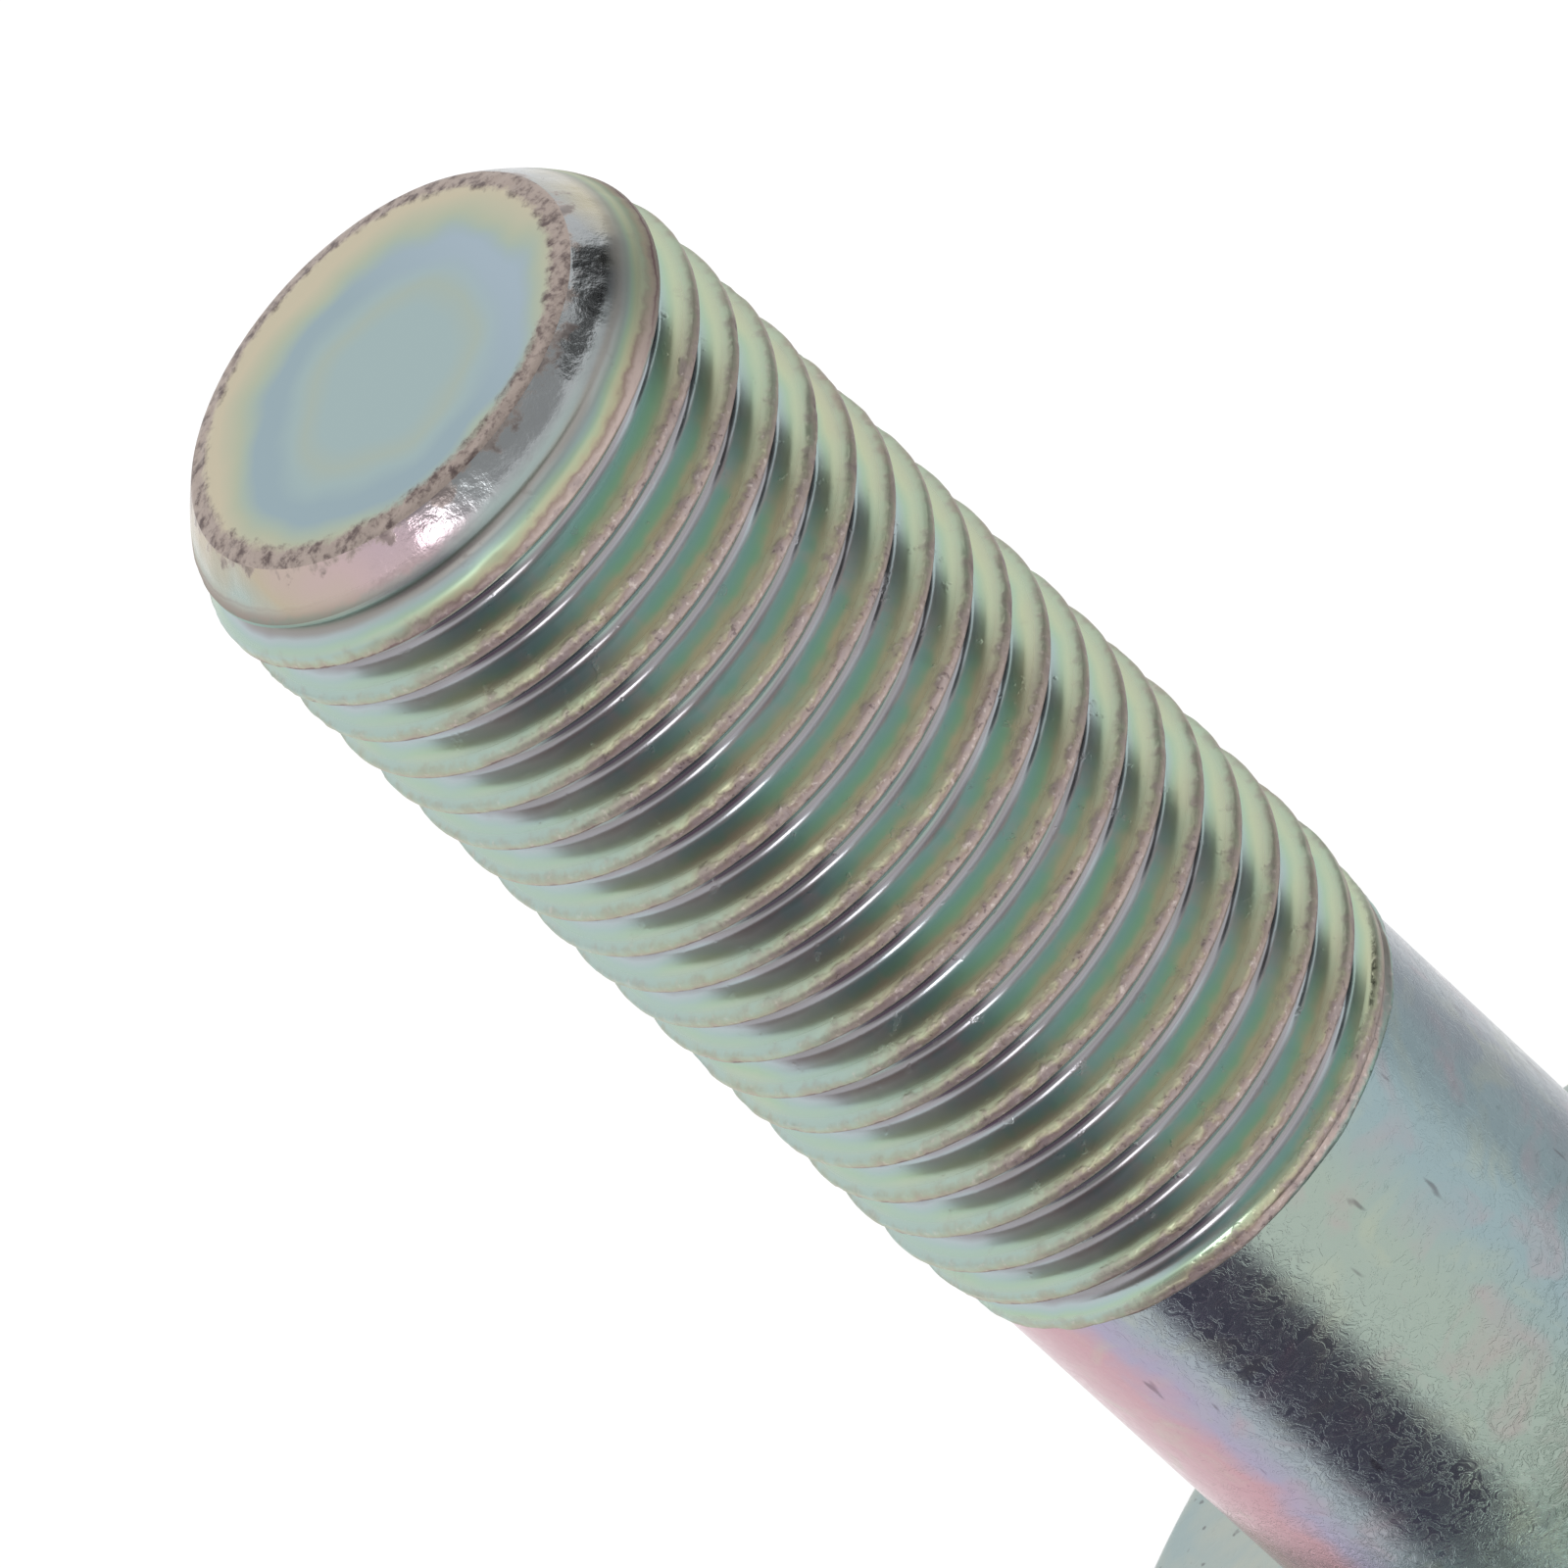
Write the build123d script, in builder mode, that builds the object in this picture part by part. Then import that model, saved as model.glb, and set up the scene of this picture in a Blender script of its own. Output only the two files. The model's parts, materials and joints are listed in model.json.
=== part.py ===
from build123d import *
import math
import os

# Camshaft bolt: a flanged hexagon bolt, M12 x 1.25, cold-forged and thread-rolled in one piece.
# Millimetres. It stands on its head: the origin is the centre of the head's flat top, which
# faces down, and +Z runs up the shank to the pointed end.

# Driving sizes of the thread, which has the ISO basic profile.
nominal_radius = 6.0         # half of M12
flank_angle = 60.0           # between the two flanks of a groove, in degrees
pitch = 1.25                 # axial distance from crest to crest, right-handed, one start
crest_allowance = 0.08       # how far the crests lie inside the nominal radius
flank_allowance = 0.045      # how far the flanks lie inside the basic profile
thread_length = 25.9         # from the end face to where the last groove dies out
runout_length = 2.0          # the part of it over which crests and roots fade into the shank
groove_start = 0.72          # depth below the end face at which the groove's middle crosses +X

# Driving sizes of the pointed end.
edge_ring_width = 0.45       # the sheared ring between the flat face and the point's cone
edge_ring_drop = 0.12        # how far that ring falls away from the flat face
point_inset = 0.48           # how far inside the thread's root the cone begins
point_angle = 39.0           # between the cone and the axis, in degrees

# Driving sizes of the shank and the head.
under_head_length = 42.0     # from the bearing face to the end face
neck_round = 0.8             # height and width of the hollow curve under the head
flange_radius = 15.0
flange_rim_height = 2.4      # the flange's edge, with its bevel
flange_slope = 20.0          # of the flange's back, from the bearing plane, in degrees
rim_bevel = 0.35             # on the rim's edge beside the bearing face
collar_width = 0.3           # the flat ring that the hexagon's corners stand on
head_height = 12.0           # from the head's flat top to the bearing face
across_flats = 17.0
hexagon_chamfer = 30.0       # of the hexagon's corners, from the head's top, in degrees
chamfer_inset = 0.4          # how far inside the flats the chamfer begins

# Thread radii that follow from the profile. The shank is the blank that the thread is rolled
# from, so it has the thread's pitch radius. The flanks would meet in sharp crests and roots that
# lie sharp_height apart; flank_run is how far a flank runs along the axis for each unit outwards.
flank_run = math.tan(math.radians(flank_angle / 2))
sharp_height = pitch / 2 / flank_run
major_radius = nominal_radius - crest_allowance
pitch_radius = nominal_radius - sharp_height * 3 / 8 - flank_allowance
root_radius = pitch_radius - sharp_height / 4
shank_radius = pitch_radius
root_half_width = pitch / 8

# Heights along the axis.
bearing_height = head_height
end_height = bearing_height + under_head_length
thread_bottom = end_height - thread_length
full_thread_bottom = thread_bottom + runout_length

# Radii of the pointed end.
cone_start_radius = root_radius - point_inset
face_radius = cone_start_radius - edge_ring_width
cone_drop = (major_radius - cone_start_radius) / math.tan(math.radians(point_angle))
cone_start_height = end_height - edge_ring_drop

os.makedirs("parts", exist_ok=True)


# One turn of the groove that the rolling die leaves. Its mouth is a little wider than the
# crest's radius needs, so that it cuts through the crest cleanly.
mouth_clearance = pitch / 25
mouth_radius = major_radius + mouth_clearance
mouth_half_width = root_half_width + (mouth_radius - root_radius) * flank_run

with BuildPart() as groove_turn:
    with BuildLine() as groove_path:
        Helix(pitch, pitch, pitch_radius)
    with BuildSketch(Plane.XZ) as groove_profile:
        with BuildLine():
            Polyline(
                (root_radius, -root_half_width),
                (mouth_radius, -mouth_half_width),
                (mouth_radius, mouth_half_width),
                (root_radius, root_half_width),
                close=True,
            )
        make_face()
    sweep(path=groove_path.wire(), is_frenet=True)


# The threaded end: a round bar with the groove repeated along it, trimmed by a turned outline
# that has the point at one end and lets the crests fall below the shank's surface at the other.
bar_overlap = 2 * pitch
bar_bottom = thread_bottom - bar_overlap
first_groove = end_height - groove_start
groove_turns = math.ceil((first_groove - thread_bottom) / pitch) + 1

crest_fall = (major_radius - shank_radius) / runout_length
crest_end = thread_bottom - pitch / 2
crest_end_radius = shank_radius - crest_fall * pitch / 2

with BuildPart() as threaded_end:
    with BuildSketch(Plane.XY.offset(bar_bottom)):
        Circle(major_radius)
    extrude(amount=end_height + bar_overlap - bar_bottom)
    with Locations(*[(0, 0, first_groove - turn * pitch) for turn in range(groove_turns + 1)]):
        add(groove_turn.part, mode=Mode.SUBTRACT)
    with BuildSketch(Plane.XZ) as outline:
        with BuildLine():
            Polyline(
                (0, end_height),
                (face_radius, end_height),
                (cone_start_radius, cone_start_height),
                (major_radius, cone_start_height - cone_drop),
                (major_radius, full_thread_bottom),
                (crest_end_radius, crest_end),
                (0, crest_end),
                close=True,
            )
        make_face()
    revolve(axis=Axis.Z, mode=Mode.INTERSECT)


# The hexagon, with its corners turned down at the head's top.
chamfer_start_radius = across_flats / 2 - chamfer_inset
corner_radius = across_flats / math.sqrt(3)
chamfer_rise = (corner_radius - chamfer_start_radius) * math.tan(math.radians(hexagon_chamfer))
collar_radius = corner_radius + collar_width
flange_back_rise = (flange_radius - collar_radius) * math.tan(math.radians(flange_slope))
collar_height = bearing_height - flange_rim_height - flange_back_rise

with BuildPart() as hexagon:
    with BuildSketch():
        RegularPolygon(across_flats / 2, side_count=6, major_radius=False)
    extrude(amount=bearing_height - flange_rim_height)
    with BuildSketch(Plane.XZ):
        with BuildLine():
            Polyline(
                (chamfer_start_radius, 0),
                (corner_radius, chamfer_rise),
                (corner_radius + chamfer_rise, chamfer_rise),
                (corner_radius + chamfer_rise, 0),
                close=True,
            )
        make_face()
    revolve(axis=Axis.Z, mode=Mode.SUBTRACT)


# The bolt: the flange and the shank are one turned outline. The shank goes on into the threaded
# end as a cone, which fills the grooves little by little over the run-out.
core_radius = root_radius - mouth_clearance
core_top = full_thread_bottom
core_bottom = thread_bottom + mouth_clearance

with BuildPart() as camshaft_bolt:
    with BuildSketch(Plane.XZ) as shank_and_flange:
        with BuildLine():
            Polyline(
                (shank_radius, bearing_height + neck_round),
                (shank_radius, core_bottom),
                (core_radius, core_top),
                (0, core_top),
                (0, collar_height),
                (collar_radius, collar_height),
                (flange_radius, bearing_height - flange_rim_height),
                (flange_radius, bearing_height - rim_bevel),
                (flange_radius - rim_bevel, bearing_height),
                (shank_radius + neck_round, bearing_height),
            )
            Bezier(
                (shank_radius + neck_round, bearing_height),
                (shank_radius, bearing_height),
                (shank_radius, bearing_height + neck_round),
            )
        make_face()
    revolve(axis=Axis.Z)
    add(hexagon.part)
    add(threaded_end.part)

camshaft_bolt.part.label = "camshaft_bolt"
export_step(camshaft_bolt.part, "parts/camshaft_bolt.step")
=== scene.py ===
import json
import math

import bmesh
import bpy
import numpy as np
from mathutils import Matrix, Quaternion, Vector, noise


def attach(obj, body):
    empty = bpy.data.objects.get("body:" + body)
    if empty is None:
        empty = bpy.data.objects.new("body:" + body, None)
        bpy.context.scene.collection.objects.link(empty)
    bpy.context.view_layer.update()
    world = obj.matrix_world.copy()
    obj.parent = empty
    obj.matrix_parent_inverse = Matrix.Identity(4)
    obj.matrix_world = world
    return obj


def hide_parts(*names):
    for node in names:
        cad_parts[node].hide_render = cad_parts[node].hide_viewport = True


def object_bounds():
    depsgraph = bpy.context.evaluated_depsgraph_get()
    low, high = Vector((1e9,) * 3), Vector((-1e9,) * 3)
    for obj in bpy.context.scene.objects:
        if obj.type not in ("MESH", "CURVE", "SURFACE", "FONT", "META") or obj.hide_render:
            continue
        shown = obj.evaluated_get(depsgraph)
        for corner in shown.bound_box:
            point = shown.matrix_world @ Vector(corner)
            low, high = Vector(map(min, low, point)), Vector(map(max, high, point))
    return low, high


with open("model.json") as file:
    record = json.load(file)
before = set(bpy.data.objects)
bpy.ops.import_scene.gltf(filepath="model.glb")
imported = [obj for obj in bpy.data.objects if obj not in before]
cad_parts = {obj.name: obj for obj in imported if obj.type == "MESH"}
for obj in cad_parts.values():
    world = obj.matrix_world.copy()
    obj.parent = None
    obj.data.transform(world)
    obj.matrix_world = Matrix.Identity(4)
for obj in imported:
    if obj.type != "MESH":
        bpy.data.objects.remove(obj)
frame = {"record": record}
cad_low, cad_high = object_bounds()

bl_info = {
    "name": "Camshaft bolt",
    "version": (1, 0, 0),
    "blender": (4, 5, 0),
    "location": "3D View > Sidebar > Bolt",
    "description": "Builds a plated flange bolt with a rolled thread, and the studio it stands in",
    "category": "Object",
}

MM = 0.001
NODE = "camshaft_bolt"
BEARING_HEIGHT = next(
    mount["pos_m"][2] for mount in frame["record"]["mounts"] if mount["name"] == "bearing_face"
)
FLANK = math.radians(30)  # between a flank of the thread and the plane across the axis
ROOT_HALF_WIDTH = 0.15    # of the groove's rounded root, as a share of the pitch


def linear(code):
    """The linear RGBA of an sRGB hex colour."""
    channels = [int(code[i:i + 2], 16) / 255 for i in (1, 3, 5)]
    return [c / 12.92 if c <= 0.04045 else ((c + 0.055) / 1.055) ** 2.4 for c in channels] + [1.0]


def add(tree, kind, inputs=None, stops=None, **settings):
    """Adds a node, sets its properties, and gives its inputs, by place or name, a value or a link.

    A colour ramp's stops are pairs of a place and a colour, in order.
    """
    node = tree.nodes.new(kind)
    for name, value in settings.items():
        setattr(node, name, value)
    if stops:
        elements = node.color_ramp.elements
        elements.remove(elements[1])
        elements[0].position, elements[0].color = stops[0]
        for at, tint in stops[1:]:
            elements.new(at).color = tint
    pairs = inputs.items() if isinstance(inputs, dict) else enumerate(inputs or ())
    for key, value in pairs:
        if isinstance(value, bpy.types.Node):
            value = value.outputs[0]
        if isinstance(value, bpy.types.NodeSocket):
            tree.links.new(value, node.inputs[key])
        elif value is not None:
            node.inputs[key].default_value = value
    return node


def length(name, description, millimetres):
    """A size in metres, with its default given in millimetres."""
    return bpy.props.FloatProperty(
        name=name, description=description, default=millimetres * MM, unit="LENGTH", precision=5
    )


def angle(name, description, degrees):
    """An angle, with its default given in degrees."""
    return bpy.props.FloatProperty(
        name=name, description=description, default=math.radians(degrees), unit="ROTATION"
    )


def colour(name, description, code):
    """A colour, with its default given as an sRGB hex value."""
    return bpy.props.FloatVectorProperty(
        name=name, description=description, default=linear(code), subtype="COLOR", size=4, min=0, max=1
    )


class BoltSizes(bpy.types.PropertyGroup):
    """Sizes of the bolt. Heights count up from the flat top of the head, which it stands on."""

    pitch: length("Pitch", "Axial distance from crest to crest", 1.25)
    major_radius: length("Major radius", "From the axis to the thread's crests", 5.92)
    pitch_radius: length("Pitch radius", "Where groove and ridge are equally wide; also the shank", 5.549)
    thread_length: length("Thread length", "From the end face to where the crests end at the shank", 25.7)
    runout_length: length("Run-out", "Stretch over which crests sink towards the shank", 2.2)
    groove_runout: length("Groove run-out", "Stretch over which the roots rise to the shank", 0.45)
    last_ring: length("Last ring", "Width of the ring that the thread ends in", 0.22)
    last_ring_height: length("Last ring height", "How far that ring stands above the shank", 0.13)
    groove_start: length("Groove start", "Depth below the end at which a groove crosses +X", 0.72)
    lead_in_start: length("Lead-in start", "Depth at which the grooves begin to bite into the cone", 0.7)
    lead_in_end: length("Lead-in end", "Depth at which the grooves have their full depth", 2.2)
    lead_in_lift: length("Lead-in lift", "How far out the grooves lie where they begin", 0.28)
    shoulder: length("Crest shoulder", "Reach of the rounding between crest and flank", 0.07)
    face_radius: length("Face radius", "Of the smooth middle of the end face", 4.35)
    cone_radius: length("Cone radius", "Where the point's cone begins", 4.80)
    ring_drop: length("Ring drop", "How far the sheared ring falls away from the face", 0.12)
    cone_angle: angle("Cone angle", "Between the point's cone and the axis", 39)
    cone_blend: length("Cone blend", "Reach of the rounding from the cone into the crests", 1.0)
    neck: length("Neck", "Height and width of the hollow curve under the head", 0.8)
    rim_height: length("Rim height", "Of the flange's edge", 2.4)
    rim_round: length("Rim rounding", "At the edge of the bearing face", 0.35)
    back_angle: angle("Back angle", "Of the flange's back, from the bearing plane", 20)
    across_flats: length("Across flats", "Of the hexagon", 17)
    chamfer_inset: length("Chamfer inset", "How far inside the flats the head's chamfer begins", 0.4)
    corner_round: length("Corner rounding", "How far the hexagon's corners are worn back", 0.12)
    chip_depth: length("Chip depth", "Of the nicks along the crests", 0.05)
    columns: bpy.props.IntProperty(
        name="Columns", description="Faces around the bolt, a multiple of 12", default=216, min=48, step=12
    )
    rows: bpy.props.IntProperty(
        name="Rows", description="Faces across one pitch of the thread", default=16, min=8
    )
    seed: bpy.props.FloatProperty(
        name="Seed", description="Moves the chips and the mottling to other places", default=3.0
    )


class BoltColours(bpy.types.PropertyGroup):
    """Colours that the thin iridescent film gives the zinc."""

    # Root and root edge: the film's lilac, made darker as painted shade at the bottom of the groove.
    root: colour("Root", "At the bottom of the groove", "#928F91")
    root_edge: colour("Root edge", "Where the root turns into the flank", "#A2A1A6")
    flank_low: colour("Low flank", "Beside the root", "#B4C0C4")
    flank_teal: colour("Teal flank", "Below the middle of the flank", "#ABC0BC")
    flank_mid: colour("Middle flank", "Half-way up the flank", "#ADC4AC")
    flank_high: colour("High flank", "Under the crest", "#BFC7A8")
    shoulder: colour("Shoulder", "Where the flank turns into the crest", "#C3BEA2")
    crest: colour("Crest", "The rough crest", "#C6B5AE")
    crest_edge: colour("Crest edge", "Of the crest's edge towards the point", "#A6948A")
    side_crest: colour("Side crest", "Of the crests towards -X and +X, beside the flank", "#B0BBA5")
    side_sand: colour("Side crest, sand", "Of the middle of those crests", "#B3AD98")
    side_brown: colour("Side crest, brown", "Of their edge towards the head", "#998D83")
    crest_grey: colour("Crest grey", "Of the greyer stretches of the crest", "#A99C9D")
    crest_fleck: colour("Crest flecks", "On the burnished high spots of the crest", "#EADFD8")
    # Painted shade that darkens the first groove and dims its reflections.
    fold_shade: colour("Fold", "Of the dull line that the first groove is on the cone", "#9C9886")
    # Painted shadow: a dark line along the crest's edge on the head's side.
    edge_shadow: colour("Bruise", "Along the crest's edge on the head's side", "#7A5E62")
    chip: colour("Chips", "In the nicks and laps of rough places", "#4A3A44")
    back_flank: colour("Back flank", "On the side of the ridge that faces the head", "#9CBAB0")
    cone_cool: colour("Cone, cool side", "Of the point's cone towards -X", "#AAB8B2")
    cone_warm: colour("Cone, warm side", "Of the cone beside its cool side", "#BDB29D")
    cone_pink: colour("Cone, pink side", "Of the cone between its warm side and the mauve", "#C4AEAE")
    cone_mauve: colour("Cone, mauve", "Of the cone between the pink and its middle", "#BDA9B0")
    cone_slate: colour("Cone, slate", "Of the middle of the cone", "#A8ACAE")
    cone_sand: colour("Cone, far side", "Of the cone towards +X", "#B9B39E")
    face_middle: colour("Face middle", "At the centre of the end face", "#A0B4B5")
    face_green: colour("Face green", "Of the faint ring round the middle", "#A6B4AC")
    face_blue: colour("Face blue", "Of the blue ring", "#97ABB3")
    face_sky: colour("Face, sky", "Of the blue ring's +X side", "#A6B6C3")
    face_aqua: colour("Face aqua", "Between the blue ring and the yellow one", "#A6B5AA")
    face_straw: colour("Face straw", "Of the yellow ring at the edge", "#B2B8A3")
    face_sand: colour("Face sand", "At the edge furthest from the rings' middle", "#C6BDA6")
    torn: colour("Torn ring", "Of the sheared ring round the face", "#B4A69E")
    torn_dark: colour("Torn ring, dark", "In the tears of the sheared ring", "#6F6260")
    flange: colour("Flange", "Of the flange and the head", "#A9B6B4")
    shank_pink: colour("Shank pink", "Of the shank towards -X", "#BF969F")
    shank_lilac: colour("Shank lilac", "Beside the pink", "#A59EB5")
    shank_blue: colour("Shank blue", "Between the lilac and the middle", "#9DA6AE")
    shank_mint: colour("Shank mint", "Of the middle of the shank", "#A0AEA4")
    shank_aqua: colour("Shank aqua", "Of the shank towards +X", "#95A9AD")
    shank_slate: colour("Shank slate", "Of the shank's edge at +X", "#8F979F")


class StudioSettings(bpy.types.PropertyGroup):
    """The camera and the studio."""

    elevation: angle("Elevation", "Of the camera above the horizon", 32.87)
    roll: angle("Roll", "Of the camera about its own axis", -47.45)
    distance: length("Distance", "From the camera to its target", 490.5)
    lens: bpy.props.FloatProperty(
        name="Lens", description="Focal length in mm, on a 36 mm sensor", default=563.5, min=10
    )
    target_side: length("Target side", "How far the target lies along +X", -0.632)
    target_depth: length("Target depth", "How far the target lies below the end face", 13.66)
    paper: colour("Paper", "Of the floor", "#F2F2F2")
    dark_card: colour("Dark card", "On the floor at the left, seen only in the metal", "#8F7B8E")
    dark_card_near: colour("Dark card, near end", "The same card beside the bolt", "#625C6C")
    grey_card: colour("Grey card", "On the floor at the right, seen only in the metal", "#A8A8AC")
    grey_card_near: colour("Grey card, near end", "The same card beside the bolt", "#DEDEE0")
    key_bearing: angle("Key lamp bearing", "Towards -X, from the camera's side", 34)
    key_rise: angle("Key lamp rise", "Above the horizon", 42)
    key_reach: length("Key lamp reach", "From the thread to the lamp", 350)
    key_size: length("Key lamp size", "Diameter of the disk", 110)
    key_radiance: bpy.props.FloatProperty(
        name="Key lamp radiance", description="Against 1 for the white surroundings", default=3.7, min=0
    )


# ---------------------------------------------------------------------------------------------
# The thread: a grid of faces rolled up along the helix
# ---------------------------------------------------------------------------------------------

def helix_base(sizes):
    """Height at which a groove's middle crosses +X, below the threaded end by a whole turn or more."""
    first = cad_high.z - sizes.groove_start
    low = cad_high.z - sizes.thread_length
    return first - math.ceil((first - low) / sizes.pitch + 1) * sizes.pitch


def thread_inputs(sizes, material):
    """Names, socket types and values of the inputs of the thread's tree."""
    end = cad_high.z
    low = end - sizes.thread_length
    high = end - sizes.ring_drop
    base = helix_base(sizes)
    turns = math.ceil((high - base) / sizes.pitch)
    return [
        ("Columns", "Int", sizes.columns + 1),
        ("Rows", "Int", turns * sizes.rows + 1),
        ("Turns", "Float", float(turns)),
        ("Pitch", "Float", sizes.pitch),
        ("Base height", "Float", base),
        ("Low end", "Float", low),
        ("High end", "Float", high),
        ("Major radius", "Float", sizes.major_radius),
        ("Pitch radius", "Float", sizes.pitch_radius),
        ("Shoulder", "Float", sizes.shoulder),
        ("Run-out", "Float", sizes.runout_length),
        ("Groove run-out", "Float", sizes.groove_runout),
        ("Last ring", "Float", sizes.last_ring),
        ("Last ring height", "Float", sizes.last_ring_height),
        ("Lead-in lift", "Float", sizes.lead_in_lift),
        ("Lead-in start", "Float", end - sizes.lead_in_start),
        ("Lead-in end", "Float", end - sizes.lead_in_end),
        ("Cone radius", "Float", sizes.cone_radius),
        ("Cone angle", "Float", sizes.cone_angle),
        ("Cone blend", "Float", sizes.cone_blend),
        ("Chip depth", "Float", sizes.chip_depth),
        ("Seed", "Float", sizes.seed),
        ("Material", "Material", material),
    ]


def thread_tree(inputs):
    """Geometry nodes that roll the threaded end, with its point and its run-out."""
    tree = bpy.data.node_groups.new("rolled thread", "GeometryNodeTree")
    for name, kind, _ in inputs:
        tree.interface.new_socket(name, in_out="INPUT", socket_type="NodeSocket" + kind)
    tree.interface.new_socket("Mesh", in_out="OUTPUT", socket_type="NodeSocketGeometry")
    given = add(tree, "NodeGroupInput").outputs

    # Each vertex has a share of the length and a share of the turn.
    grid = add(tree, "GeometryNodeMeshGrid", {"Size X": 1.0, "Size Y": 1.0, "Vertices X": given["Rows"],
                                              "Vertices Y": given["Columns"]})
    place = add(tree, "ShaderNodeSeparateXYZ", [add(tree, "GeometryNodeInputPosition")])
    share = add(tree, "ShaderNodeMath", [place.outputs["X"], 0.5], operation="ADD")
    turn = add(tree, "ShaderNodeMath", [place.outputs["Y"], 0.5], operation="ADD")

    # Rows lie closer at roots and crests than on the flanks, and rise with the helix.
    crowding = 0.45
    row = add(tree, "ShaderNodeMath", [share, given["Turns"]], operation="MULTIPLY")
    wave = add(tree, "ShaderNodeMath", [row, 4 * math.pi], operation="MULTIPLY")
    wave = add(tree, "ShaderNodeMath", [wave], operation="SINE")
    row = add(tree, "ShaderNodeMath", [wave, -crowding / (4 * math.pi), row], operation="MULTIPLY_ADD")
    row = add(tree, "ShaderNodeMath", [row, turn], operation="ADD")
    height = add(tree, "ShaderNodeMath", [row, given["Pitch"], given["Base height"]],
                 operation="MULTIPLY_ADD")
    height = add(tree, "ShaderNodeMath", [height, given["Low end"]], operation="MAXIMUM")
    height = add(tree, "ShaderNodeMath", [height, given["High end"]], operation="MINIMUM")

    # The distance from the middle of the nearest groove, along the axis.
    above = add(tree, "ShaderNodeMath", [height, given["Base height"]], operation="SUBTRACT")
    pitches = add(tree, "ShaderNodeMath", [above, given["Pitch"]], operation="DIVIDE")
    pitches = add(tree, "ShaderNodeMath", [pitches, turn], operation="SUBTRACT")
    offset = add(tree, "ShaderNodeMath", [pitches, 0.5], operation="PINGPONG")
    offset = add(tree, "ShaderNodeMath", [offset, given["Pitch"]], operation="MULTIPLY")

    # The groove: two straight flanks, with an arc between them at the root.
    quarter = add(tree, "ShaderNodeMath", [given["Pitch"], 0.25], operation="MULTIPLY")
    flank = add(tree, "ShaderNodeMath", [offset, quarter], operation="SUBTRACT")
    flank = add(tree, "ShaderNodeMath", [flank, 1 / math.tan(FLANK), given["Pitch radius"]],
                operation="MULTIPLY_ADD")
    root_half = add(tree, "ShaderNodeMath", [given["Pitch"], ROOT_HALF_WIDTH], operation="MULTIPLY")
    arc = add(tree, "ShaderNodeMath", [root_half, math.cos(FLANK)], operation="DIVIDE")
    arc_square = add(tree, "ShaderNodeMath", [arc, 2.0], operation="POWER")
    offset_square = add(tree, "ShaderNodeMath", [offset, 2.0], operation="POWER")
    sag = add(tree, "ShaderNodeMath", [arc_square, offset_square], operation="SUBTRACT")
    sag = add(tree, "ShaderNodeMath", [sag, 0.0], operation="MAXIMUM")
    sag = add(tree, "ShaderNodeMath", [sag], operation="SQRT")
    # The arc's centre lies where both flanks' normals meet the groove's middle.
    centre_rise = ROOT_HALF_WIDTH * math.tan(FLANK) - (0.25 - ROOT_HALF_WIDTH) / math.tan(FLANK)
    centre = add(tree, "ShaderNodeMath", [given["Pitch"], centre_rise, given["Pitch radius"]],
                 operation="MULTIPLY_ADD")
    bottom = add(tree, "ShaderNodeMath", [centre, sag], operation="SUBTRACT")
    in_root = add(tree, "FunctionNodeCompare", [offset, root_half], data_type="FLOAT",
                  operation="LESS_THAN")
    groove = add(tree, "GeometryNodeSwitch", {"Switch": in_root, "False": flank, "True": bottom},
                 input_type="FLOAT")
    # Towards the shank the rollers leave the metal, so the groove rises to the shank.
    above_low = add(tree, "ShaderNodeMath", [height, given["Low end"]], operation="SUBTRACT")
    above_ring = add(tree, "ShaderNodeMath", [above_low, given["Last ring"]], operation="SUBTRACT")
    groove_share = add(tree, "ShaderNodeMapRange", [above_ring, 0.0, given["Groove run-out"], 0.0, 1.0])
    below_pitch = add(tree, "ShaderNodeMath", [groove, given["Pitch radius"]], operation="SUBTRACT")
    groove = add(tree, "ShaderNodeMath", [below_pitch, groove_share, given["Pitch radius"]],
                 operation="MULTIPLY_ADD")

    # The crest: a cylinder that runs into the point's cone at one end and the shank at the other.
    below_high = add(tree, "ShaderNodeMath", [given["High end"], height], operation="SUBTRACT")
    slope = add(tree, "ShaderNodeMath", [given["Cone angle"]], operation="TANGENT")
    cone = add(tree, "ShaderNodeMath", [below_high, slope, given["Cone radius"]], operation="MULTIPLY_ADD")
    # The cone bulges a little beside the sheared ring.
    bulge_reach, bulge_height = 0.25 * MM, 0.05 * MM
    fall = add(tree, "ShaderNodeMath", [below_high, -1 / bulge_reach], operation="MULTIPLY")
    fall = add(tree, "ShaderNodeMath", [fall], operation="EXPONENT")
    bulge = add(tree, "ShaderNodeMath", [1.0, fall], operation="SUBTRACT")
    cone = add(tree, "ShaderNodeMath", [bulge, bulge_height, cone], operation="MULTIPLY_ADD")
    crest = add(tree, "ShaderNodeMath", [cone, given["Major radius"], given["Cone blend"]],
                operation="SMOOTH_MIN")
    crest_share = add(tree, "ShaderNodeMath", [above_low, given["Run-out"]], operation="DIVIDE",
                      use_clamp=True)
    # The crests sink slowly at first, and fast beside the shank.
    crest_share = add(tree, "ShaderNodeMath", [crest_share], operation="SQRT")
    above_pitch = add(tree, "ShaderNodeMath", [crest, given["Pitch radius"]], operation="SUBTRACT")
    crest = add(tree, "ShaderNodeMath", [above_pitch, crest_share, given["Pitch radius"]],
                operation="MULTIPLY_ADD")

    # On the cone the die has not yet sunk in fully, so the grooves lie further out.
    lift = add(tree, "ShaderNodeMapRange", [height, given["Lead-in start"], given["Lead-in end"],
                                            given["Lead-in lift"], 0.0])
    groove = add(tree, "ShaderNodeMath", [groove, lift], operation="ADD")

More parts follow.
